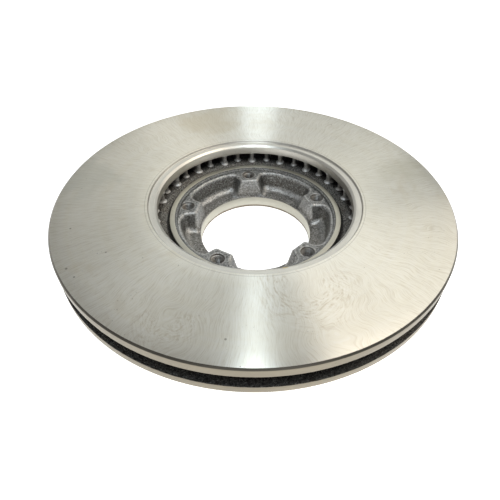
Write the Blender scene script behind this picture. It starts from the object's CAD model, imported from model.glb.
import math
import bpy
import numpy as np
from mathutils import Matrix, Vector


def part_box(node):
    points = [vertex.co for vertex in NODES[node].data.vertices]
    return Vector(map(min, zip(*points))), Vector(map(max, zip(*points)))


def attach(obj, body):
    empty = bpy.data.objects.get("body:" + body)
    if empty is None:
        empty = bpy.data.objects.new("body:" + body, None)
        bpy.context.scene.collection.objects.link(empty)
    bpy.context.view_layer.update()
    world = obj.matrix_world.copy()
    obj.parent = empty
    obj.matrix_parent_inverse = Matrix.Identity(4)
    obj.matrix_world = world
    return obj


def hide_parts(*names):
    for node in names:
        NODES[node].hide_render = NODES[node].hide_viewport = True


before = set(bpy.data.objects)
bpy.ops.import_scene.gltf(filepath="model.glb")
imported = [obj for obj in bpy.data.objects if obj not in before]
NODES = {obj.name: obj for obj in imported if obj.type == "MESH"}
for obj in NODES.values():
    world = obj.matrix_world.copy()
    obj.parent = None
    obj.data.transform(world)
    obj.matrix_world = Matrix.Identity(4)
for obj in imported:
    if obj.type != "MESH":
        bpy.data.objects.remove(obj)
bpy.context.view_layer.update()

import openvdb as vdb
from mathutils import Matrix, Vector


MM = 0.001
DEG = math.pi / 180.0

# ------------------------------------------------------------------ dimensions
# Millimetres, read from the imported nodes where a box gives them.
TOP_LO, TOP_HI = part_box("friction_ring_top")
LOW_LO, LOW_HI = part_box("friction_ring_low")
R_DISC = TOP_HI.x / MM                      # 149
Z_TOP = TOP_HI.z / MM                       # 46
Z_LOW = LOW_LO.z / MM                       # 21
Z_FLOOR = LOW_HI.z / MM                     # 27.8, vent side of the low ring
Z_ROOF = Z_TOP - 7.4                        # 38.6, vent side of the top ring
Z_LIP = TOP_LO.z / MM                       # 36.1, foot of the inner lip
CHAMFER = 1.2
R_STEP, STEP, R_TOP_BORE = 81.3, 1.6, 75.1
R_RIM_OUT, R_RIM_IN, Z_RIM = 67.1, 63.5, 29.3
Z_PAD, Z_BORE_TOP, R_BORE = 26.8, 10.7, 44.5
R_POCKET_TOP, R_POCKET_FOOT, Z_POCKET = 59.5, 56.2, 12.6
PCD, N_HOLES, HOLE_PHASE = 112.0, 5, 97.0
N_VANES, VANE_W = 38, 4.4
R_VANE_LONG, R_VANE_SHORT, R_VANE_OUT, VANE_PHASE = 75.5, 77.6, 141.5, 92.84

# ------------------------------------------------------------------ value noise
_lat = np.random.RandomState(41).rand(64, 64, 64).astype(np.float32) * 2 - 1


def vnoise(p, size, seed=0):
    """Smooth value noise in [-1, 1]; size is the lattice spacing in mm."""
    q = p / size + np.array([seed * 7.13, seed * 3.71, seed * 5.37])
    i = np.floor(q).astype(np.int64)
    f = (q - i)
    f = f * f * (3 - 2 * f)
    i &= 63
    j = (i + 1) & 63
    x0, y0, z0 = i[..., 0], i[..., 1], i[..., 2]
    x1, y1, z1 = j[..., 0], j[..., 1], j[..., 2]
    fx, fy, fz = f[..., 0], f[..., 1], f[..., 2]
    a = _lat[x0, y0, z0] * (1 - fx) + _lat[x1, y0, z0] * fx
    b = _lat[x0, y1, z0] * (1 - fx) + _lat[x1, y1, z0] * fx
    c = _lat[x0, y0, z1] * (1 - fx) + _lat[x1, y0, z1] * fx
    d = _lat[x0, y1, z1] * (1 - fx) + _lat[x1, y1, z1] * fx
    return (a * (1 - fy) + b * fy) * (1 - fz) + (c * (1 - fy) + d * fy) * fz


def sand(p, seed=0):
    """Height of a green-sand casting's skin, about -1 to 1."""
    return (0.55 * vnoise(p, 3.6, seed) + 0.35 * vnoise(p, 1.7, seed + 1)
            + 0.25 * vnoise(p, 0.9, seed + 2))


# -------------------------------------------------------------------- materials
class Mat:
    def __init__(self, name):
        self.m = bpy.data.materials.new(name)
        self.m.use_nodes = True
        self.t = self.m.node_tree
        self.t.nodes.clear()
        self.out = self.n("ShaderNodeOutputMaterial")
        self.b = self.n("ShaderNodeBsdfPrincipled")
        self.t.links.new(self.b.outputs[0], self.out.inputs[0])
        self.co = self.n("ShaderNodeTexCoord").outputs["Object"]

    def n(self, kind, **props):
        node = self.t.nodes.new(kind)
        for k, v in props.items():
            setattr(node, k, v)
        return node

    def put(self, socket, value):
        if isinstance(value, bpy.types.NodeSocket):
            self.t.links.new(value, socket)
        elif value is not None:
            socket.default_value = value

    def math(self, op, a, b=None, c=None, clamp=False):
        node = self.n("ShaderNodeMath", operation=op, use_clamp=clamp)
        for s, v in zip(node.inputs, (a, b, c)):
            self.put(s, v)
        return node.outputs[0]

    def vmul(self, v, k):
        node = self.n("ShaderNodeVectorMath", operation="MULTIPLY")
        self.put(node.inputs[0], v)
        node.inputs[1].default_value = k if isinstance(k, tuple) else (k, k, k)
        return node.outputs[0]

    def noise(self, scale, detail=3.0, rough=0.55, vec=None, distortion=0.0, lac=2.0):
        node = self.n("ShaderNodeTexNoise", noise_dimensions="3D")
        self.put(node.inputs["Vector"], vec if vec is not None else self.co)
        node.inputs["Scale"].default_value = scale
        node.inputs["Detail"].default_value = detail
        node.inputs["Roughness"].default_value = rough
        node.inputs["Lacunarity"].default_value = lac
        node.inputs["Distortion"].default_value = distortion
        return node.outputs["Fac"]

    def ramp(self, fac, lo, hi, a=0.0, b=1.0, smooth=True):
        node = self.n("ShaderNodeMapRange", interpolation_type="SMOOTHSTEP" if smooth else "LINEAR")
        node.clamp = True
        self.put(node.inputs["Value"], fac)
        self.put(node.inputs["From Min"], lo)
        self.put(node.inputs["From Max"], hi)
        self.put(node.inputs["To Min"], a)
        self.put(node.inputs["To Max"], b)
        return node.outputs["Result"]

    def mix(self, fac, a, b, blend="MIX"):
        node = self.n("ShaderNodeMix", data_type="RGBA", blend_type=blend)
        node.clamp_factor = True
        self.put(node.inputs[0], fac)
        self.put(node.inputs[6], a if not isinstance(a, tuple) else (*a, 1.0))
        self.put(node.inputs[7], b if not isinstance(b, tuple) else (*b, 1.0))
        return node.outputs[2]

    def bump(self, height, strength, distance, normal=None):
        node = self.n("ShaderNodeBump")
        node.inputs["Strength"].default_value = strength
        node.inputs["Distance"].default_value = distance
        self.put(node.inputs["Height"], height)
        if normal is not None:
            self.put(node.inputs["Normal"], normal)
        return node.outputs["Normal"]

    def xyz(self):
        node = self.n("ShaderNodeSeparateXYZ")
        self.put(node.inputs[0], self.co)
        return node.outputs[0], node.outputs[1], node.outputs[2]

    def polar(self):
        """radius in metres, unit direction (x/r, y/r) and height."""
        x, y, z = self.xyz()
        r = self.math("SQRT", self.math("ADD", self.math("MULTIPLY", x, x), self.math("MULTIPLY", y, y)))
        return r, self.math("DIVIDE", x, r), self.math("DIVIDE", y, r), z

    def vec(self, x, y, z):
        node = self.n("ShaderNodeCombineXYZ")
        for s, v in zip(node.inputs, (x, y, z)):
            self.put(s, v)
        return node.outputs[0]

    def set(self, **values):
        for k, v in values.items():
            s = self.b.inputs[k.replace("_", " ")]
            if isinstance(v, tuple) and len(v) == 3 and s.type == "RGBA":
                v = (*v, 1.0)
            self.put(s, v)


def ground_iron():
    """Friction face: turned, then ground grey iron under a thin film of oil."""
    k = Mat("ground_iron_face")
    r, cx, cy, z = k.polar()
    x, y, _ = k.xyz()
    # fine circular tool marks: noise stretched along the circumference
    ring = k.vec(r, k.math("MULTIPLY", cx, 0.004), k.math("MULTIPLY", cy, 0.004))
    marks = k.noise(1500.0, 4.0, 0.65, vec=ring)
    bands = k.noise(170.0, 3.0, 0.6, vec=ring)
    # grinding hair: long in the radial direction, its azimuth warped into waves
    theta = k.math("ARCTAN2", y, x)
    patch = k.noise(8.5, 1.5, 0.5)                       # where the waves get wild
    wild = k.ramp(patch, 0.46, 0.66, 0.03, 0.20)
    for px, py, size, amount in ((0.050, -0.106, 0.050, 0.50), (-0.046, -0.122, 0.036, 0.45), (0.118, -0.020, 0.040, 0.30), (-0.100, 0.070, 0.040, 0.22)):
        away = k.n("ShaderNodeVectorMath", operation="DISTANCE")
        k.put(away.inputs[0], k.vec(x, y, 0.0))
        away.inputs[1].default_value = (px, py, 0.0)
        wild = k.math("ADD", wild, k.ramp(away.outputs["Value"], size, size * 0.25, 0.0, amount))
    slow = k.math("SUBTRACT", k.noise(20.0, 2.0, 0.5), 0.5)
    quick = k.math("SUBTRACT", k.noise(42.0, 1.2, 0.45), 0.5)
    bend = k.math("ADD", k.math("MULTIPLY", slow, 0.10), k.math("MULTIPLY", k.math("MULTIPLY", quick, wild), 0.55))
    turned = k.math("ADD", theta, bend)
    hc, hs = k.math("COSINE", turned), k.math("SINE", turned)
    hair_at = k.vec(k.math("MULTIPLY", hc, 190.0), k.math("MULTIPLY", hs, 190.0), k.math("MULTIPLY", r, 105.0))
    hair = k.noise(1.0, 3.5, 0.66, vec=hair_at, distortion=0.1)
    lock_at = k.vec(k.math("MULTIPLY", hc, 44.0), k.math("MULTIPLY", hs, 44.0), k.math("MULTIPLY", r, 40.0))
    lock = k.noise(1.0, 3.0, 0.6, vec=lock_at, distortion=0.1)
    cloud = k.noise(9.0, 3.0, 0.55)
    stain = k.noise(30.0, 4.0, 0.62, distortion=0.5)
    speck = k.noise(760.0, 2.0, 0.5)
    spot = k.noise(95.0, 2.0, 0.5)
    base = k.mix(k.ramp(cloud, 0.3, 0.7), (0.775, 0.748, 0.650), (0.830, 0.808, 0.720))
    base = k.mix(k.math("MULTIPLY", k.ramp(hair, 0.48, 0.66), 0.42), base, (0.555, 0.500, 0.390))
    base = k.mix(k.math("MULTIPLY", k.ramp(hair, 0.47, 0.34), 0.36), base, (0.90, 0.885, 0.845))
    base = k.mix(k.math("MULTIPLY", k.ramp(lock, 0.48, 0.70), 0.20), base, (0.60, 0.560, 0.475))
    base = k.mix(k.math("MULTIPLY", k.ramp(stain, 0.56, 0.70), 0.36), base, (0.64, 0.575, 0.44))
    base = k.mix(k.math("MULTIPLY", k.ramp(bands, 0.35, 0.65), 0.14), base, (0.84, 0.84, 0.82))
    base = k.mix(k.math("MULTIPLY", k.math("MULTIPLY", k.ramp(speck, 0.66, 0.76), k.ramp(spot, 0.55, 0.66)), 0.8),
                 base, (0.22, 0.20, 0.17))
    for px, py, size, amount, tone in ((-0.040, 0.116, 0.034, 0.34, (0.63, 0.555, 0.40)), (0.124, 0.034, 0.030, 0.30, (0.56, 0.535, 0.42)),
                                       (-0.132, 0.020, 0.030, 0.22, (0.50, 0.52, 0.46)), (0.010, -0.130, 0.026, 0.20, (0.66, 0.60, 0.47))):
        away = k.n("ShaderNodeVectorMath", operation="DISTANCE")
        k.put(away.inputs[0], k.vec(x, y, 0.0))
        away.inputs[1].default_value = (px, py, 0.0)
        ragged = k.math("ADD", away.outputs["Value"], k.math("MULTIPLY", k.math("SUBTRACT", stain, 0.5), 0.075))
        base = k.mix(k.math("MULTIPLY", k.ramp(ragged, size, size * 0.15), amount * 1.35), base, tone)
    for px, py, size in ((-0.119, -0.078, 0.0011), (-0.112, -0.085, 0.0009), (-0.016, -0.130, 0.0010), (-0.098, -0.063, 0.0008),
                         (0.071, 0.112, 0.0008), (-0.128, -0.040, 0.0009)):
        away = k.n("ShaderNodeVectorMath", operation="DISTANCE")
        k.put(away.inputs[0], k.vec(x, y, 0.0))
        away.inputs[1].default_value = (px, py, 0.0)
        base = k.mix(k.math("MULTIPLY", k.ramp(away.outputs["Value"], size, size * 0.4), 0.75), base, (0.26, 0.23, 0.18))
    # swirls left by the grinding head: strokes that run round a point on the near side
    for px, py, r0, r1, amount in ((0.031, -0.090, 0.007, 0.041, 0.60), (-0.050, -0.118, 0.002, 0.025, 0.50)):
        dx = k.math("ADD", k.math("SUBTRACT", x, px), k.math("MULTIPLY", slow, 0.012))
        dy = k.math("ADD", k.math("SUBTRACT", y, py), k.math("MULTIPLY", quick, 0.012))
        rho = k.math("SQRT", k.math("ADD", k.math("MULTIPLY", dx, dx), k.math("MULTIPLY", dy, dy)))
        rho = k.math("MAXIMUM", rho, 0.0005)
        at = k.vec(k.math("MULTIPLY", rho, 720.0), k.math("MULTIPLY", k.math("DIVIDE", dx, rho), 4.0),
                   k.math("MULTIPLY", k.math("DIVIDE", dy, rho), 4.0))
        stroke = k.noise(1.0, 3.0, 0.62, vec=at)
        mask = k.math("MULTIPLY", k.ramp(rho, r0, r0 * 2.0 + 0.002), k.ramp(rho, r1, r1 * 0.55))
        mask = k.math("MULTIPLY", mask, k.ramp(k.math("DIVIDE", dy, rho), 0.75, 0.25, 0.0, amount))
        mask = k.math("MULTIPLY", mask, k.ramp(lock, 0.38, 0.56, 0.35, 1.0))
        base = k.mix(k.math("MULTIPLY", mask, k.ramp(stroke, 0.52, 0.64)), base, (0.575, 0.510, 0.395))
        base = k.mix(k.math("MULTIPLY", mask, k.ramp(stroke, 0.48, 0.37)), base, (0.90, 0.885, 0.83))
    line = k.math("ABSOLUTE", k.math("SUBTRACT", r, 0.0832))
    base = k.mix(k.ramp(line, 0.00012, 0.00045, 0.38, 0.0), base, (0.36, 0.34, 0.29))
    rough = k.math("ADD", k.math("MULTIPLY", hair, 0.10), k.math("MULTIPLY", marks, 0.07))
    rough = k.math("ADD", rough, 0.225)
    height = k.math("ADD", k.math("MULTIPLY", marks, 0.9), k.math("MULTIPLY", hair, 0.9))
    tangent = k.n("ShaderNodeTangent", direction_type="RADIAL", axis="Z")
    k.set(Base_Color=base, Metallic=1.0, Roughness=rough, Anisotropic=0.93, Anisotropic_Rotation=0.25,
          Tangent=tangent.outputs[0], Normal=k.bump(height, 0.20, 0.00006))
    return k.m


def turned_iron(name, tint, tone=1.0, rough0=0.30, aniso=0.55, feed=2600.0, foot=False, smudge=False):
    """Turned walls, bands and bores: feed lines along the circumference."""
    k = Mat(name)
    r, cx, cy, z = k.polar()
    along = k.vec(k.math("MULTIPLY", cx, 0.003), k.math("MULTIPLY", cy, 0.003), k.math("ADD", z, r))
    feedline = k.noise(feed, 3.0, 0.6, vec=along)
    coarse = k.noise(300.0, 3.0, 0.6, vec=along)
    cloud = k.noise(38.0, 4.0, 0.6)
    speck = k.noise(700.0, 2.0, 0.5)
    base = k.mix(k.ramp(cloud, 0.32, 0.70), tuple(c * 0.88 * tone for c in tint), tuple(c * tone for c in tint))
    base = k.mix(k.math("MULTIPLY", k.ramp(coarse, 0.35, 0.65), 0.22), base, tuple(c * 0.62 * tone for c in tint))
    base = k.mix(k.math("MULTIPLY", k.ramp(speck, 0.66, 0.78), 0.45), base, (0.16, 0.13, 0.10))
    if smudge:
        # a dab of yellow marking grease on the lead-in
        away = k.n("ShaderNodeVectorMath", operation="DISTANCE")
        k.put(away.inputs[0], k.co)
        away.inputs[1].default_value = (0.0193, -0.0729, 0.0438)
        ragged = k.math("ADD", away.outputs["Value"], k.math("MULTIPLY", k.math("SUBTRACT", k.noise(600.0, 2.0, 0.6), 0.5), 0.0022))
        base = k.mix(k.ramp(ragged, 0.0012, 0.0026, 0.75, 0.0), base, (0.78, 0.60, 0.20))
    if foot:
        # rust creeping up from the lower edge
        edge = k.math("ADD", z, k.math("MULTIPLY", k.math("SUBTRACT", k.noise(120.0, 3.0, 0.6), 0.5), 0.0016))
        base = k.mix(k.ramp(edge, 0.0014, 0.0029, 0.95, 0.0), base, (0.125, 0.088, 0.052))
    rough = k.math("ADD", k.math("MULTIPLY", feedline, 0.16), k.math("MULTIPLY", cloud, 0.10))
    rough = k.math("ADD", rough, rough0 - 0.10)
    tangent = k.n("ShaderNodeTangent", direction_type="RADIAL", axis="Z")
    k.set(Base_Color=base, Metallic=1.0, Roughness=rough, Anisotropic=aniso, Anisotropic_Rotation=0.25,
          Tangent=tangent.outputs[0], Normal=k.bump(feedline, 0.25, 0.00008))
    return k.m


def vent_iron(name, dark, mid, spark, rust, metal=0.75, inner=True, foot_z=None):
    """Sand-cast skin inside the vent: dark scale, rust brown in the hollows."""
    k = Mat(name)
    big = k.noise(70.0, 4.0, 0.6)
    grain = k.noise(820.0, 4.0, 0.7)
    pit = k.noise(1500.0, 3.0, 0.6)
    vor = k.n("ShaderNodeTexVoronoi", voronoi_dimensions="3D", feature="F1")
    k.put(vor.inputs["Vector"], k.co)
    vor.inputs["Scale"].default_value = 900.0
    cell = vor.outputs["Distance"]
    base = k.mix(k.ramp(grain, 0.38, 0.62), dark, mid)
    base = k.mix(k.math("MULTIPLY", k.ramp(big, 0.46, 0.66), 0.45), base, rust)
    base = k.mix(k.math("MULTIPLY", k.ramp(pit, 0.56, 0.68), 0.75), base, spark)
    if inner:
        r = k.polar()[0]
        soot = k.math("MULTIPLY", k.ramp(r, 0.0765, 0.0825), k.ramp(r, 0.134, 0.126, 0.62, 1.0))
        soot = k.math("MAXIMUM", soot, k.ramp(r, 0.0702, 0.0688))
        base = k.mix(k.math("MULTIPLY", soot, 0.86), base, (0.012, 0.011, 0.010))
    if not foot_z is None:
        foot = k.math("MULTIPLY", k.ramp(k.xyz()[2], foot_z, foot_z + 0.0022, 1.0, 0.0), k.ramp(k.polar()[0], 0.082, 0.079))
        base = k.mix(k.math("MULTIPLY", foot, 0.7), base, (0.86, 0.85, 0.82))
    height = k.math("ADD", k.math("MULTIPLY", grain, 1.0), k.math("MULTIPLY", cell, 0.5))
    height = k.math("ADD", height, k.math("MULTIPLY", pit, 0.35))
    k.set(Base_Color=base, Metallic=metal, Roughness=k.ramp(grain, 0.3, 0.7, 0.38, 0.58, False),
          Normal=k.bump(height, 1.0, 0.00042))
    return k.m


def cast_iron():
    """Shot-blasted cast skin of the hub: mid grey, fine pits, brown pocket walls."""
    k = Mat("cast_iron_skin")
    big = k.noise(46.0, 4.0, 0.6)
    grain = k.noise(800.0, 4.0, 0.68)
    pit = k.noise(1600.0, 3.0, 0.6)
    x, y, z = k.xyz()
    deep = k.ramp(z, 0.0125, 0.0262, 1.0, 0.0)
    base = k.mix(k.ramp(big, 0.34, 0.66), (0.205, 0.207, 0.203), (0.285, 0.287, 0.279))
    base = k.mix(k.math("MULTIPLY", deep, k.ramp(big, 0.30, 0.70, 0.15, 0.55)), base, (0.205, 0.182, 0.150))
    base = k.mix(k.math("MULTIPLY", k.ramp(grain, 0.53, 0.68), 0.74), base, (0.58, 0.58, 0.565))
    base = k.mix(k.math("MULTIPLY", k.ramp(grain, 0.475, 0.35), 0.82), base, (0.050, 0.046, 0.040))
    base = k.mix(k.math("MULTIPLY", k.ramp(pit, 0.60, 0.72), 0.55), base, (0.66, 0.66, 0.64))
    wear = k.n("ShaderNodeAttribute", attribute_type="GEOMETRY", attribute_name="wear").outputs["Fac"]
    shade = k.n("ShaderNodeAttribute", attribute_type="GEOMETRY", attribute_name="shade").outputs["Fac"]
    base = k.mix(k.math("MULTIPLY", shade, k.ramp(grain, 0.40, 0.62, 0.74, 0.30)), base, (0.070, 0.064, 0.052))
    rubbed = k.math("MULTIPLY", wear, k.ramp(grain, 0.36, 0.56, 0.25, 1.0))
    base = k.mix(k.math("MULTIPLY", rubbed, 0.66), base, (0.74, 0.73, 0.70))
    height = k.math("ADD", k.math("MULTIPLY", grain, 1.0), k.math("MULTIPLY", pit, 0.4))
    k.set(Base_Color=base, Metallic=0.80, Roughness=k.ramp(grain, 0.3, 0.7, 0.32, 0.48, False),
          Normal=k.bump(height, 0.85, 0.00029))
    return k.m


def thread_iron():
    """Cut threads with rust starting in the roots."""
    k = Mat("thread_iron")
    big = k.noise(160.0, 3.0, 0.6)
    fine = k.noise(1400.0, 3.0, 0.6)
    base = k.mix(k.ramp(big, 0.40, 0.68), (0.37, 0.36, 0.34), (0.21, 0.18, 0.15))
    base = k.mix(k.math("MULTIPLY", k.ramp(fine, 0.55, 0.72), 0.5), base, (0.62, 0.59, 0.54))
    k.set(Base_Color=base, Metallic=0.9, Roughness=k.ramp(fine, 0.3, 0.7, 0.38, 0.54, False),
          Normal=k.bump(fine, 0.4, 0.00006))
    return k.m


M_FACE = ground_iron()
M_WALL = turned_iron("turned_iron_wall", (0.300, 0.264, 0.200), 1.0, 0.34, 0.45)
M_BAND = turned_iron("turned_iron_band", (0.73, 0.708, 0.645), 1.0, 0.32, 0.55)
M_BORE = turned_iron("turned_iron_bore", (0.590, 0.570, 0.488), 1.0, 0.36, 0.40, foot=True)
M_LIP = turned_iron("turned_iron_lip", (0.90, 0.87, 0.79), 1.0, 0.34, 0.60, smudge=True)
M_EDGE = turned_iron("turned_iron_edge", (0.20, 0.185, 0.155), 1.0, 0.30, 0.30)
M_VENT = vent_iron("vent_iron_skin", (0.045, 0.042, 0.038), (0.250, 0.240, 0.218), (0.80, 0.77, 0.70), (0.120, 0.095, 0.070))
M_VANE = vent_iron("vane_iron_skin", (0.34, 0.33, 0.31), (0.68, 0.665, 0.63), (0.86, 0.84, 0.80), (0.44, 0.39, 0.32), 0.60, foot_z=(Z_FLOOR + 0.4) * MM)
M_CAST = cast_iron()
M_THREAD = thread_iron()


# ----------------------------------------------------------------- mesh helpers
def make(name, verts_mm, faces, mats, mat_idx=None, sharp=None, normals=None, smooth=True):
    me = bpy.data.meshes.new(name)
    v = np.asarray(verts_mm, np.float64) * MM
    f = np.asarray(faces, np.int32)
    n = f.shape[1]
    me.vertices.add(len(v))
    me.vertices.foreach_set("co", v.astype(np.float32).ravel())
    me.loops.add(f.size)
    me.loops.foreach_set("vertex_index", f.ravel())
    me.polygons.add(len(f))
    me.polygons.foreach_set("loop_start", np.arange(0, f.size, n, dtype=np.int32))
    for m in mats:
        me.materials.append(m)
    if mat_idx is not None:
        me.polygons.foreach_set("material_index", np.asarray(mat_idx, np.int32))
    me.update(calc_edges=True)
    me.polygons.foreach_set("use_smooth", np.full(len(f), smooth, bool))
    if sharp is not None:
        me.set_sharp_from_angle(angle=sharp * DEG)
    if normals is not None:
        me.normals_split_custom_set_from_vertices([tuple(x) for x in normals])
    me.validate()
    ob = bpy.data.objects.new(name, me)
    bpy.context.scene.collection.objects.link(ob)
    return ob


def outline(points):
    """Closed (r, z) outline with rounded corners.

    points: (r, z, corner radius, tag of the run that leaves this corner).
    Returns (r, z) and the tag of each run."""
    pr, tags = [], []
    n = len(points)
    for i in range(n):
        p = np.array(points[i][:2], float)
        rad, tag = points[i][2], points[i][3]
        a = np.array(points[i - 1][:2], float)
        b = np.array(points[(i + 1) % n][:2], float)
        prev_tag = points[i - 1][3]
        if rad <= 0:
            pr.append(p)
            tags.append(tag)
            continue
        u, w = (a - p), (b - p)
        lu, lw = np.linalg.norm(u), np.linalg.norm(w)
        u, w = u / lu, w / lw
        half = 0.5 * math.acos(max(-1, min(1, float(u @ w))))
        if half > 89 * DEG:
            pr.append(p)
            tags.append(tag)
            continue
        t = min(rad / math.tan(half), 0.49 * lu, 0.49 * lw)
        rr = t * math.tan(half)
        c = p + (u + w) / np.linalg.norm(u + w) * rr / math.sin(half)
        s, e = p + u * t, p + w * t
        a0 = math.atan2(*(s - c)[::-1])
        a1 = math.atan2(*(e - c)[::-1])
        d = (a1 - a0 + math.pi) % (2 * math.pi) - math.pi
        steps = max(3, int(abs(d) / (14 * DEG)))
        for k in range(steps + 1):
            ang = a0 + d * k / steps
            pr.append(c + rr * np.array([math.cos(ang), math.sin(ang)]))
            tags.append(tag if k >= steps / 2 else prev_tag)
    return pr, tags


def refine(pr, tags, longest):
    out, ot = [], []
    n = len(pr)
    for i in range(n):
        a, b = pr[i], pr[(i + 1) % n]
        step = longest.get(tags[i], 1e9)
        k = max(1, int(math.ceil(np.linalg.norm(b - a) / step)))
        for j in range(k):
            out.append(a + (b - a) * j / k)
            ot.append(tags[i])
    return np.array(out), ot


def lathe(name, points, mats, tag_mat, longest, segs, cast=(), seed=0, amp=0.16):
    pr, tags = outline(points)
    pr, tags = refine(pr, tags, longest)
    n = len(pr)
    th = np.arange(segs) * 2 * math.pi / segs
    v = np.empty((segs, n, 3))
    v[..., 0] = np.cos(th)[:, None] * pr[None, :, 0]
    v[..., 1] = np.sin(th)[:, None] * pr[None, :, 0]
    v[..., 2] = pr[None, :, 1]
    if cast:
        # displaced along the outline's own normal, only where both runs are cast
        e = np.roll(pr, -1, 0) - pr
        e /= np.linalg.norm(e, axis=1)[:, None]
        nr = np.stack([e[:, 1], -e[:, 0]], 1)
        nr = nr + np.roll(nr, 1, 0)
        nr /= np.linalg.norm(nr, axis=1)[:, None]
        w = np.array([1.0 if (tags[i] in cast or tags[i - 1] in cast) else 0.0 for i in range(n)])
        h = sand(v.reshape(-1, 3), seed).reshape(segs, n) * amp * w[None]
        both = np.array([1.0 if (tags[i] in cast and tags[i - 1] in cast) else 0.0 for i in range(n)])
        dr = nr[None, :, 0] * h * both[None]
        dz = nr[None, :, 1] * h
        v[..., 0] += np.cos(th)[:, None] * dr
        v[..., 1] += np.sin(th)[:, None] * dr
        v[..., 2] += dz
    i = np.arange(segs)[:, None]
    j = (i + 1) % segs
    k = np.arange(n)[None]
    l = (k + 1) % n
    f = np.stack(np.broadcast_arrays(i * n + k, j * n + k, j * n + l, i * n + l), -1).reshape(-1, 4)
    idx = np.tile(np.array([tag_mat[t] for t in tags]), segs)
    return make(name, v.reshape(-1, 3), f, mats, idx, sharp=34)


def keep(ob, slot, *nodes):
    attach(ob, "root")
    if nodes:
        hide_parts(*nodes)
    return ob


# ------------------------------------------------------------------- the rings
SEG = 900
FINE = {"vent": 1.0, "ann": 0.62, "lip": 0.62}

top = lathe("friction_ring_upper", [
    (R_STEP + 0.10, Z_TOP, 0.22, "face"),
    (R_DISC - CHAMFER, Z_TOP, 0.10, "edge"),
    (R_DISC, Z_TOP - CHAMFER, 0.10, "wall"),
    (R_DISC, Z_ROOF, 0.25, "rim"),
    (136.0, Z_ROOF - 0.05, 0.0, "deep"),
    (90.0, Z_ROOF, 0.0, "ann"),
    (84.6, Z_ROOF, 2.0, "ann"),
    (80.6, Z_LIP, 1.2, "ann"),
    (R_TOP_BORE - 0.05, Z_LIP, 0.7, "bore"),
    (R_TOP_BORE - 0.45, Z_TOP - STEP - 1.35, 0.35, "lead"),
    (R_TOP_BORE + 1.55, Z_TOP - STEP - 0.05, 0.45, "band"),
    (R_STEP - 0.72, Z_TOP - STEP, 0.6, "lead"),
    (R_STEP - 0.22, Z_TOP - 0.50, 0.25, "lead"),
], [M_FACE, M_WALL, M_BAND, M_VENT, M_LIP, M_EDGE],
    {"edge": 5, "face": 0, "wall": 1, "bore": 4, "lead": 4, "band": 2, "rim": 3, "deep": 3, "ann": 3},
    {"rim": 0.9, "ann": 0.9, "face": 12.0, "deep": 6.0}, SEG, cast=("rim", "ann", "deep"), seed=3, amp=0.20)
keep(top, "ground_iron", "friction_ring_top")

low = lathe("friction_ring_lower", [
    (66.6, Z_LOW + 1.5, 0.0, "deep"),
    (74.9, Z_LOW + 1.5, 0.0, "band"),
    (81.2, Z_LOW + 1.5, 0.3, "band"),
    (81.5, Z_LOW, 0.12, "face"),
    (R_DISC - CHAMFER, Z_LOW, 0.10, "edge"),
    (R_DISC, Z_LOW + CHAMFER, 0.10, "wall"),
    (R_DISC, Z_FLOOR - 0.15, 0.25, "rim"),
    (128.0, Z_FLOOR - 0.15, 0.0, "deep"),
    (92.0, Z_FLOOR - 0.15, 0.0, "ann"),
    (74.6, Z_FLOOR - 0.15, 2.5, "ann"),
    (69.6, Z_FLOOR - 1.75, 1.5, "ann"),
    (66.6, Z_FLOOR - 1.70, 0.0, "deep"),
], [M_FACE, M_WALL, M_BAND, M_VENT, M_EDGE],
    {"edge": 4, "face": 0, "wall": 1, "bore": 1, "band": 2, "rim": 3, "deep": 3, "ann": 3},
    {"rim": 0.9, "ann": 0.75, "face": 12.0, "deep": 6.0}, SEG, cast=("rim", "ann", "deep"), seed=9, amp=0.22)
keep(low, "ground_iron", "friction_ring_low")


# -------------------------------------------------------------------- the vanes
def roof_at(r):
    t = np.clip((r - 80.2) / 4.6, 0, 1)
    return Z_LIP + (Z_ROOF - Z_LIP) * t * t * (3 - 2 * t)


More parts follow.
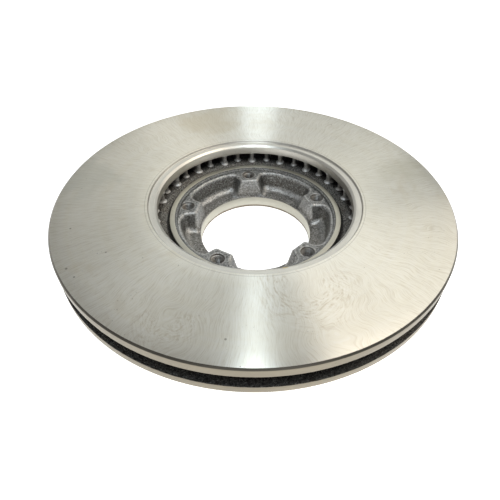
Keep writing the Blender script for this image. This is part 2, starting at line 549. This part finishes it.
def vane(index):
    rng = np.random.RandomState(100 + index)
    long = index % 2 == 0
    r_in = (R_VANE_LONG if long else R_VANE_SHORT) + rng.uniform(-0.25, 0.25)
    r_out = R_VANE_OUT + rng.uniform(-0.5, 0.4)
    w_mid = VANE_W / 2 * rng.uniform(0.94, 1.04)
    w_in = w_mid * (0.90 if long else 0.86)
    # plan outline: straight flanks, rounded nose, blunter rounded tail
    pts = []
    for t in np.linspace(-90, 90, 13):
        pts.append((r_out - 1.7 + 1.7 * math.cos(t * DEG), w_mid * 0.92 * math.sin(t * DEG)))
    for r in np.linspace(r_out - 2.4, r_in + 2.6, 46):
        f = (r - r_in) / (r_out - r_in)
        pts.append((r, w_in + (w_mid - w_in) * min(1, f * 5)))
    for t in np.linspace(90, -90, 15):
        pts.append((r_in + 2.2 - 2.2 * math.cos(t * DEG), w_in * math.sin(t * DEG)))
    for r in np.linspace(r_in + 2.6, r_out - 2.4, 46):
        f = (r - r_in) / (r_out - r_in)
        pts.append((r, -(w_in + (w_mid - w_in) * min(1, f * 5))))
    p = np.array(pts)
    nxt, prv = np.roll(p, -1, 0), np.roll(p, 1, 0)
    tan = nxt - prv
    tan /= np.linalg.norm(tan, axis=1)[:, None]
    nor = np.stack([tan[:, 1], -tan[:, 0]], 1)
    root = 1.5 if long else 1.2
    heights = np.concatenate([np.linspace(0, 1, 7) ** 1.6 * 2.4, []])
    zs = []
    h_in = float(roof_at(p[:, 0]).min() - Z_FLOOR)
    # fractions of the local height, close together in the root fillets
    frac = np.unique(np.concatenate([[0, .02, .05, .09, .14, .2, .28, .37, .5, .63, .72, .8, .86, .91, .95, .98, 1]]))
    rows = []
    ang = (VANE_PHASE - index * 360.0 / N_VANES + rng.uniform(-0.12, 0.12)) * DEG
    for f in frac:
        z_bot, z_top = Z_FLOOR - 0.35, roof_at(p[:, 0]) + 0.30
        z = z_bot + (z_top - z_bot) * f
        d_bot = np.maximum(z - (Z_FLOOR - 0.15), 0)
        d_top = np.maximum(roof_at(p[:, 0]) - z, 0)
        flare = np.zeros(len(p))
        for d, rr in ((d_bot, root), (d_top, 1.0)):
            t = np.clip(rr - d, 0, rr)
            flare += rr - np.sqrt(np.maximum(rr * rr - t * t, 0))
        belly = 0.18 * np.sin(np.pi * f)
        q = p + nor * (flare - belly)[:, None]
        x, y = q[:, 0], q[:, 1]
        rows.append(np.stack([x * math.cos(ang) - y * math.sin(ang), x * math.sin(ang) + y * math.cos(ang), z], 1))
    v = np.array(rows)
    nor3 = np.stack([nor[:, 0] * math.cos(ang) - nor[:, 1] * math.sin(ang),
                     nor[:, 0] * math.sin(ang) + nor[:, 1] * math.cos(ang), np.zeros(len(p))], 1)
    flat = v.reshape(-1, 3)
    h = 0.16 * sand(flat, 20).reshape(v.shape[:2])
    v = v + nor3[None] * h[..., None]
    m, n = v.shape[:2]
    i = np.arange(m - 1)[:, None]
    k = np.arange(n)[None]
    l = (k + 1) % n
    f = np.stack(np.broadcast_arrays(i * n + k, i * n + l, (i + 1) * n + l, (i + 1) * n + k), -1).reshape(-1, 4)
    verts = v.reshape(-1, 3)
    # closed ends, hidden inside the rings
    c0, c1 = len(verts), len(verts) + 1
    verts = np.concatenate([verts, [v[0].mean(0), v[-1].mean(0)]])
    ends = []
    for a in range(0, n, 1):
        b = (a + 1) % n
        ends.append((c0, b, a, c0))
        ends.append((c1, (m - 1) * n + a, (m - 1) * n + b, c1))
    name = f"vane_{index + 1:02d}"
    me_faces = [tuple(t) for t in f] + [t[:3] for t in ends]
    me = bpy.data.meshes.new(name)
    me.from_pydata([tuple(x * MM) for x in verts], [], me_faces)
    me.materials.append(M_VANE)
    me.polygons.foreach_set("use_smooth", np.ones(len(me.polygons), bool))
    me.set_sharp_from_angle(angle=60 * DEG)
    ob = bpy.data.objects.new(name, me)
    bpy.context.scene.collection.objects.link(ob)
    return keep(ob, "vent_iron", f"cooling_vane_{index + 1:02d}")


for i in range(N_VANES):
    vane(i)

# ------------------------------------------------------------- the hub casting
BOSS = [(48.5, 5.6), (53.6, 7.4), (56.9, 9.6), (58.6, 12.4), (60.2, 15.0), (62.0, 16.2), (68.0, 16.2)]
BOSS_POLY = [(x, -y) for x, y in BOSS] + [(x, y) for x, y in reversed(BOSS)]
HUB_POLY = [
    (42.0, 0.3), (66.2, 0.3), (67.4, 1.5), (68.9, 14.0), (70.7, 18.4), (72.4, 20.1), (74.6, 21.0), (75.1, 21.6),
    (75.3, 22.8), (75.3, 24.6), (66.8, 24.6), (66.8, 28.6), (63.62, 28.6), (63.45, 27.8), (63.0, 27.2), (62.2, 26.85),
    (61.0, Z_PAD), (42.0, Z_PAD),
]


def poly_sdf(x, y, poly):
    """Signed distance to a closed polygon, negative inside."""
    d = np.full(x.shape, 1e9)
    inside = np.zeros(x.shape, bool)
    n = len(poly)
    for i in range(n):
        ax, ay = poly[i]
        bx, by = poly[(i + 1) % n]
        ex, ey = bx - ax, by - ay
        wx, wy = x - ax, y - ay
        t = np.clip((wx * ex + wy * ey) / (ex * ex + ey * ey), 0, 1)
        d = np.minimum(d, (wx - ex * t) ** 2 + (wy - ey * t) ** 2)
        cross = (ay > y) != (by > y)
        if ay != by:
            inside ^= cross & (x < (bx - ax) * (y - ay) / (by - ay) + ax)
    d = np.sqrt(d)
    return np.where(inside, -d, d)


def smax(a, b, k):
    h = np.maximum(k - np.abs(a - b), 0) / k
    return np.maximum(a, b) + h * h * k * 0.25


def smin(a, b, k):
    return -smax(-a, -b, k)


def hub_sdf(x, y, z):
    r = np.hypot(x, y)
    th = np.arctan2(y, x) - HOLE_PHASE * DEG
    step = 2 * math.pi / N_HOLES
    th = (th + step / 2) % step - step / 2
    lx, ly = r * np.cos(th), r * np.sin(th)
    down = np.maximum(Z_PAD - z, 0)
    flank = np.maximum(np.abs(ly) - 0.27 * down, 0)
    d_boss = poly_sdf(lx, flank, BOSS_POLY) - 2.0 - 0.063 * down
    wall = R_POCKET_FOOT + (R_POCKET_TOP - R_POCKET_FOOT) * np.clip((z - Z_POCKET) / (Z_PAD - Z_POCKET), -0.4, 1.2)
    d_in = (r - wall) * 0.97
    floor = Z_BORE_TOP + (r - R_BORE) * 0.165
    void = smax(smax(d_in, -d_boss, 4.0), floor - z, 4.8)
    d = smax(poly_sdf(r, z, HUB_POLY), -void, 1.8)
    p = np.stack([x, y, z], -1)
    d = d + 0.16 * vnoise(p, 6.5, 31) + 0.10 * vnoise(p, 2.6, 32) + 0.05 * vnoise(p, 1.3, 33)
    d = smax(d, (R_BORE + 0.12) - r, 0.35)
    d = np.maximum(d, (0.3 - z))
    hole = np.hypot(lx - PCD / 2, ly)
    cone = np.clip(z - (Z_PAD - 0.6), 0, 2) * 0.7
    d = smax(d, 4.98 + cone - hole, 0.2)
    return d


VOX = 0.52
LIM = 77.0
nx = int(2 * LIM / VOX)
nz = int(33.0 / VOX)
gx = (np.arange(nx) * VOX - LIM)
gz = (np.arange(nz) * VOX - 1.5)
grid_values = np.empty((nx, nx, nz), np.float32)
for i0 in range(0, nx, 32):
    X, Y, Z = np.meshgrid(gx[i0:i0 + 32], gx, gz, indexing="ij")
    grid_values[i0:i0 + 32] = hub_sdf(X, Y, Z)
np.clip(grid_values, -2.0, 2.0, out=grid_values)
g = vdb.FloatGrid()
g.background = 2.0
g.copyFromArray(grid_values)
pts, tris, quads = g.convertToPolygons(isovalue=0.0, adaptivity=0.0)
P = np.asarray(pts, np.float64) * VOX + np.array([-LIM, -LIM, -1.5])


def gradient(p, h=0.06):
    out = np.empty_like(p)
    for a in range(3):
        q = p.copy()
        q[:, a] += h
        hi = hub_sdf(q[:, 0], q[:, 1], q[:, 2])
        q[:, a] -= 2 * h
        out[:, a] = hi - hub_sdf(q[:, 0], q[:, 1], q[:, 2])
    out /= np.maximum(np.linalg.norm(out, axis=1), 1e-9)[:, None]
    return out


for _ in range(2):
    N = gradient(P)
    step = np.clip(hub_sdf(P[:, 0], P[:, 1], P[:, 2]), -0.25, 0.25)
    P = P - N * step[:, None]
N = gradient(P, 0.18)


def convexity(p, h=0.9):
    """How sharply the skin turns outwards, 0 on flats and hollows: where blasting wears it bright."""
    mid = hub_sdf(p[:, 0], p[:, 1], p[:, 2])
    total = -6.0 * mid
    for a in range(3):
        for sign in (1.0, -1.0):
            q = p.copy()
            q[:, a] += sign * h
            total += hub_sdf(q[:, 0], q[:, 1], q[:, 2])
    return total / (h * h)


WEAR = np.clip((convexity(P) - 0.06) / 0.26, 0.0, 1.0)
WEAR *= (np.hypot(P[:, 0], P[:, 1]) > R_BORE + 1.5)


def step01(v, a, b):
    t = np.clip((v - a) / (b - a), 0.0, 1.0)
    return t * t * (3 - 2 * t)


# upright edges stay darker; the fillet between pocket wall and floor is blasted bright as well
WEAR *= 0.30 + 0.70 * step01(N[:, 2], 0.10, 0.45)
FOOT = step01(N[:, 2], 0.36, 0.58) * step01(N[:, 2], 0.965, 0.86) * step01(P[:, 2], 19.0, 16.0) * step01(P[:, 2], 9.0, 10.5)
SHADE = step01(N[:, 2], 0.55, 0.22) * step01(np.hypot(P[:, 0], P[:, 1]), 51.5, 54.5) * step01(P[:, 2], 25.8, 23.5)
SHADE *= (np.hypot(P[:, 0], P[:, 1]) < 62.0) * (P[:, 2] > 9.0)
FRONT = step01(N[:, 2], 0.45, 0.15) * step01(np.hypot(P[:, 0], P[:, 1]), 50.5, 48.5) * step01(P[:, 2], 24.5, 14.0)
SHADE = np.maximum(SHADE, 0.42 * FRONT)
WEAR = np.maximum(WEAR, 0.9 * FOOT * (np.hypot(P[:, 0], P[:, 1]) > R_BORE + 2.5) * (np.hypot(P[:, 0], P[:, 1]) < 62.0))
quads = np.asarray(quads, np.int64)
if len(tris):
    raise RuntimeError("the hub surface should be all quads")
# outward winding
a, b, c = P[quads[:, 0]], P[quads[:, 1]], P[quads[:, 2]]
fn = np.cross(b - a, c - a)
if (fn * N[quads[:, 0]]).sum(1).mean() < 0:
    quads = quads[:, ::-1]
C = P[quads].mean(1)
# hidden inside the machined pieces and the low ring
rc = np.hypot(C[:, 0], C[:, 1])
buried = (rc > 68.0) & (C[:, 2] > 22.6)
quads, C, rc = quads[~buried], C[~buried], rc[~buried]
th = np.degrees(np.arctan2(C[:, 1], C[:, 0])) - HOLE_PHASE
near = np.round(-th / 72.0)
off = (th + 72.0 * near + 180) % 360 - 180
which = (near.astype(int)) % N_HOLES
lx, ly = rc * np.cos(off * DEG), rc * np.sin(off * DEG)
is_boss = (poly_sdf(lx, ly, BOSS_POLY) < 4.5) & (lx < 62.5)
is_flange = ~is_boss & (C[:, 2] < Z_BORE_TOP + (rc - R_BORE) * 0.165 + 1.5)
part = np.where(is_boss, which, np.where(is_flange, 10, 11))


def piece(name, mask, *nodes):
    q = quads[mask]
    used, inv = np.unique(q, return_inverse=True)
    q = inv.reshape(q.shape)
    ob = make(name, P[used], q, [M_CAST], normals=N[used])
    wear = ob.data.attributes.new("wear", "FLOAT", "POINT")
    wear.data.foreach_set("value", WEAR[used].astype(np.float32))
    shade = ob.data.attributes.new("shade", "FLOAT", "POINT")
    shade.data.foreach_set("value", SHADE[used].astype(np.float32))
    return keep(ob, "cast_iron", *nodes)


piece("hub_casting_flange", part == 10, "hub_flange")
piece("hub_casting_wall", part == 11, "hub_wall")
for i in range(N_HOLES):
    piece(f"hub_casting_boss_{i + 1}", part == i, f"screw_boss_{i + 1}")

# ---------------------------------------------------- machined faces of the hub
rim = lathe("machined_rim", [
    (R_RIM_IN + 0.1, 24.8, 0.0, "wall"),
    (R_RIM_OUT, 24.8, 0.0, "wall"),
    (R_RIM_OUT, Z_RIM, 0.25, "band"),
    (R_RIM_IN - 0.35, Z_RIM, 0.25, "wall"),
    (R_RIM_IN - 0.40, 28.5, 0.08, "skin"),
    (R_RIM_IN - 0.80, 28.5, 0.08, "skin"),
    (R_RIM_IN - 0.85, 28.75, 0.15, "lip"),
    (R_RIM_IN - 1.95, 28.55, 0.40, "skin"),
    (R_RIM_IN - 2.5, 26.4, 0.0, "skin"),
], [M_BORE, M_CAST], {"band": 0, "wall": 1, "skin": 1, "lip": 1}, {}, 720)
keep(rim, "ground_iron")

seat = lathe("pilot_bore_and_seat", [
    (R_BORE, 0.8, 0.0, "seat"),
    (R_BORE + 0.8, 0.0, 0.0, "seat"),
    (66.5, 0.0, 0.0, "seat"),
    (67.7, 1.2, 0.0, "bore"),
    (67.8, 2.4, 0.0, "bore"),
    (66.4, 2.4, 0.0, "bore"),
    (66.2, 1.0, 0.0, "bore"),
    (46.4, 1.0, 0.0, "bore"),
    (45.8, 9.6, 0.0, "bore"),
    (44.62, 10.35, 0.0, "bore"),
    (R_BORE, 10.15, 0.0, "bore"),
], [M_BORE, M_BAND], {"bore": 0, "seat": 1}, {}, 360)
bpy.context.view_layer.update()
cut_v, cut_f = [], []
for i in range(N_HOLES):
    a = (HOLE_PHASE - 72.0 * i) * DEG
    c = (PCD / 2 * math.cos(a), PCD / 2 * math.sin(a))
    base, n = len(cut_v), 40
    for z, rr in ((-1.0, 6.6), (0.55, 5.05), (3.0, 5.05)):
        for j in range(n):
            t = 2 * math.pi * j / n
            cut_v.append(((c[0] + rr * math.cos(t)) * MM, (c[1] + rr * math.sin(t)) * MM, z * MM))
    for s in range(2):
        for j in range(n):
            k = (j + 1) % n
            cut_f.append((base + s * n + j, base + s * n + k, base + (s + 1) * n + k, base + (s + 1) * n + j))
    cut_f.append(tuple(base + j for j in reversed(range(n))))
    cut_f.append(tuple(base + 2 * n + j for j in range(n)))
cut_me = bpy.data.meshes.new("seat_hole_cut")
cut_me.from_pydata(cut_v, [], cut_f)
cutter = bpy.data.objects.new("seat_hole_cut", cut_me)
bpy.context.scene.collection.objects.link(cutter)
mod = seat.modifiers.new("holes", "BOOLEAN")
mod.operation, mod.solver, mod.object = "DIFFERENCE", "EXACT", cutter
bpy.context.view_layer.update()
deps = bpy.context.evaluated_depsgraph_get()
new_me = bpy.data.meshes.new_from_object(seat.evaluated_get(deps))
seat.modifiers.clear()
seat.data = new_me
bpy.data.objects.remove(cutter)
keep(seat, "ground_iron")


# ----------------------------------------------------------------- the threads
def thread(index):
    """M10 thread from the seat to the pad: a helical groove swept as one skin."""
    pitch, r_minor, depth = 1.5, 4.15, 0.92
    n, per = 56, 8
    z0, z1 = 0.7, Z_PAD - 0.62
    rows = int((z1 - z0) / pitch * per)
    zz = np.linspace(z0, z1, rows)
    tt = np.arange(n) * 2 * math.pi / n
    T, Zg = np.meshgrid(tt, zz)
    ph = (Zg / pitch - T / (2 * math.pi) + 0.21 * index) % 1.0
    tri = 1 - np.abs(2 * ph - 1)                       # 0 crest of the bore, 1 root
    prof = np.clip((tri - 0.14) / 0.74, 0, 1)
    fade = np.clip((z1 - Zg) / 1.1, 0, 1) * np.clip((Zg - z0) / 1.1, 0, 1)
    R = r_minor + depth * (1 - (1 - prof) * fade)
    X, Y = R * np.cos(T), R * np.sin(T)
    rings = [np.stack([X[k], Y[k], Zg[k]], 1) for k in range(rows)]
    for rr, z in ((4.97, Z_PAD - 0.60), (5.36, Z_PAD - 0.06), (5.7, Z_PAD - 0.5), (5.5, Z_PAD - 3)):
        rings.append(np.stack([rr * np.cos(tt), rr * np.sin(tt), np.full(n, z)], 1))
    a = (HOLE_PHASE - 72.0 * index) * DEG
    v = np.array(rings)
    v[..., 0] += PCD / 2 * math.cos(a)
    v[..., 1] += PCD / 2 * math.sin(a)
    m = len(rings)
    i = np.arange(m - 1)[:, None]
    k = np.arange(n)[None]
    l = (k + 1) % n
    f = np.stack(np.broadcast_arrays(i * n + k, (i + 1) * n + k, (i + 1) * n + l, i * n + l), -1).reshape(-1, 4)
    ob = make(f"screw_thread_{index + 1}", v.reshape(-1, 3), f, [M_THREAD], sharp=40)
    return keep(ob, "ground_iron")


for i in range(N_HOLES):
    thread(i)


# ---------------------------------------------------------- floor, light, camera
def area(name, loc, aim, size, power, colour, size_y=None):
    l = bpy.data.lights.new(name, "AREA")
    l.energy = power
    l.color = colour
    l.shape = "RECTANGLE"
    l.size = size
    l.size_y = size_y or size
    o = bpy.data.objects.new(name, l)
    bpy.context.scene.collection.objects.link(o)
    o.location = loc
    o.rotation_euler = (Vector(aim) - Vector(loc)).to_track_quat("-Z", "Y").to_euler()
    return o


floor_me = bpy.data.meshes.new("floor")
n_floor = 96
fv = [(0.0, 0.0, -0.0003)] + [(2.6 * math.cos(2 * math.pi * i / n_floor), 2.6 * math.sin(2 * math.pi * i / n_floor), -0.0003)
                            for i in range(n_floor)]
floor_me.from_pydata(fv, [], [(0, 1 + i, 1 + (i + 1) % n_floor) for i in range(n_floor)])
floor = bpy.data.objects.new("floor", floor_me)
bpy.context.scene.collection.objects.link(floor)
fm = Mat("pale_floor")
fm.set(Base_Color=fm.mix(fm.noise(3.0, 2.0), (0.90, 0.90, 0.90), (0.92, 0.92, 0.92)), Roughness=0.9,
       Emission_Color=(1.0, 1.0, 1.0), Emission_Strength=0.80)
floor_me.materials.append(fm.m)

world = bpy.data.worlds.new("studio")
bpy.context.scene.world = world
world.use_nodes = True
world.node_tree.nodes["Background"].inputs[0].default_value = (0.98, 0.99, 1.0, 1.0)
world.node_tree.nodes["Background"].inputs[1].default_value = 0.26

AIM = (0.0, 0.0, 0.04)


def panel(name, az, el, dist, w, h, radiance, colour):
    """Soft panel seen from the disc at azimuth az (0 = +Y, positive towards +X) and elevation el."""
    a, e = az * DEG, el * DEG
    loc = (dist * math.cos(e) * math.sin(a), dist * math.cos(e) * math.cos(a), AIM[2] + dist * math.sin(e))
    return area(name, loc, AIM, w, radiance * math.pi * w * h, colour, h)


panel("panel_back", 3, 39, 2.1, 1.45, 1.15, 0.84, (0.985, 1.0, 0.955))
panel("key_right", 62, 37, 2.1, 1.7, 1.25, 0.92, (1.0, 0.930, 0.815))
panel("key_high", 88, 61, 2.0, 0.95, 0.9, 3.3, (1.0, 0.915, 0.800))
panel("panel_front", 175, 18, 2.4, 2.2, 0.8, 0.50, (1.0, 0.96, 0.90))
panel("strip_top", 180, 72, 1.5, 0.12, 0.85, 20.5, (0.80, 0.91, 1.0))
panel("strip_low", 0.5, 16, 1.8, 0.17, 0.30, 4.2, (0.76, 0.88, 1.0))

# Camera: the fitted viewpoint, in disc radii about the centre of the top face.
EL, DIST, YAW, PITCH, ROLL = 0.649312906, 2.24594949, 0.0252432051, -0.131355354, 0.0130555533
FOCAL_PX, CX, CY = 434.049435, 266.286766, 253.105046
Cv = DIST * np.array([0, -math.cos(EL), math.sin(EL)])
fwd = -Cv / DIST
right = np.array([1.0, 0, 0])
up = np.cross(right, fwd)
f1 = math.cos(YAW) * fwd + math.sin(YAW) * right
r1 = math.cos(YAW) * right - math.sin(YAW) * fwd
f2 = math.cos(PITCH) * f1 + math.sin(PITCH) * up
u2 = math.cos(PITCH) * up - math.sin(PITCH) * f1
r3 = math.cos(ROLL) * r1 + math.sin(ROLL) * u2
u3 = -math.sin(ROLL) * r1 + math.cos(ROLL) * u2
cam = bpy.data.cameras.new("camera")
cam.sensor_width = 36.0
cam.lens = FOCAL_PX * 36.0 / 500.0
cam.shift_x = (250.0 - CX) / 500.0
cam.shift_y = (CY - 250.0) / 500.0
cam.clip_start = 0.01
cam_ob = bpy.data.objects.new("camera", cam)
bpy.context.scene.collection.objects.link(cam_ob)
loc = Cv * R_DISC * MM + np.array([0, 0, Z_TOP * MM])
cam_ob.matrix_world = Matrix((
    (r3[0], u3[0], -f2[0], loc[0]),
    (r3[1], u3[1], -f2[1], loc[1]),
    (r3[2], u3[2], -f2[2], loc[2]),
    (0, 0, 0, 1)))
bpy.context.scene.camera = cam_ob
bpy.context.scene.view_settings.view_transform = "Standard"
